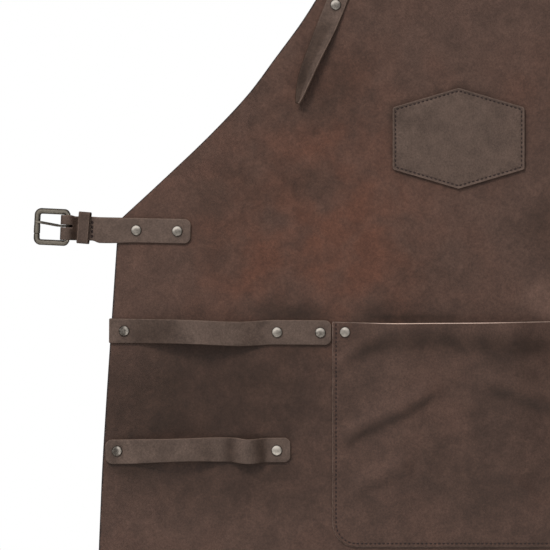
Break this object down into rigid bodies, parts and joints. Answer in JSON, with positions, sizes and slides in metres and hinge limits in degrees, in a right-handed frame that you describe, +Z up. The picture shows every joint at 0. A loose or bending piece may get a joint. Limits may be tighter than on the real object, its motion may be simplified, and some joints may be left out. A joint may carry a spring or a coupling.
{
  "type": "leather apron",
  "caption": "Brown leather work apron with a hexagonal bib patch, sewn pocket, riveted tool and towel loops, neck strap and buckled waist strap.",
  "frame": {"origin": "under the crown of the neck loop, where it hangs", "axes": "+Z up the hanging apron, +X to the right as seen from the front, +Y from the front to the back"},
  "size_m": [0.9241, 0.0484, 1.1005],
  "materials": {
    "panel_leather": "waxed pull-up leather, dark brown with reddish clouds",
    "patch_leather": "waxed leather, greyer brown",
    "strap_leather": "waxed strap leather, greyer brown",
    "buckle_metal": "antique brass with a grey nickel tone",
    "rivet_metal": "worn pewter"
  },
  "bodies": {
    "apron": {"apron_panel": "panel_leather", "pocket": "panel_leather", "hex_patch": "patch_leather", "tool_strap": "strap_leather", "towel_strap": "strap_leather", "buckle_strap": "strap_leather", "strap_keeper": "strap_leather", "waist_strap": "strap_leather", "neck_strap": "strap_leather", "buckle_strap_rivet_1": "rivet_metal", "buckle_strap_rivet_2": "rivet_metal", "tool_strap_rivet_1": "rivet_metal", "tool_strap_rivet_2": "rivet_metal", "tool_strap_rivet_3": "rivet_metal", "towel_strap_rivet_1": "rivet_metal", "towel_strap_rivet_2": "rivet_metal", "pocket_rivet_1": "rivet_metal", "pocket_rivet_2": "rivet_metal", "waist_strap_rivet_1": "rivet_metal", "waist_strap_rivet_2": "rivet_metal", "neck_strap_rivet_1": "rivet_metal", "neck_strap_rivet_2": "rivet_metal"},
    "frame": {"buckle_frame": "buckle_metal"},
    "prong": {"buckle_prong": "buckle_metal"}
  },
  "joints": [
    {"name": "frame_swing", "type": "hinge", "parent": "apron", "child": "frame", "pos_m": [-0.3912, 0.01225, -0.47374], "axis": [0.0209, -0.0018, 0.9998], "range_deg": [-80, 40]},
    {"name": "prong_lift", "type": "hinge", "parent": "frame", "child": "prong", "pos_m": [-0.3912, 0.01225, -0.47374], "axis": [0.0209, -0.0018, 0.9998], "range_deg": [0, 70]}
  ]
}
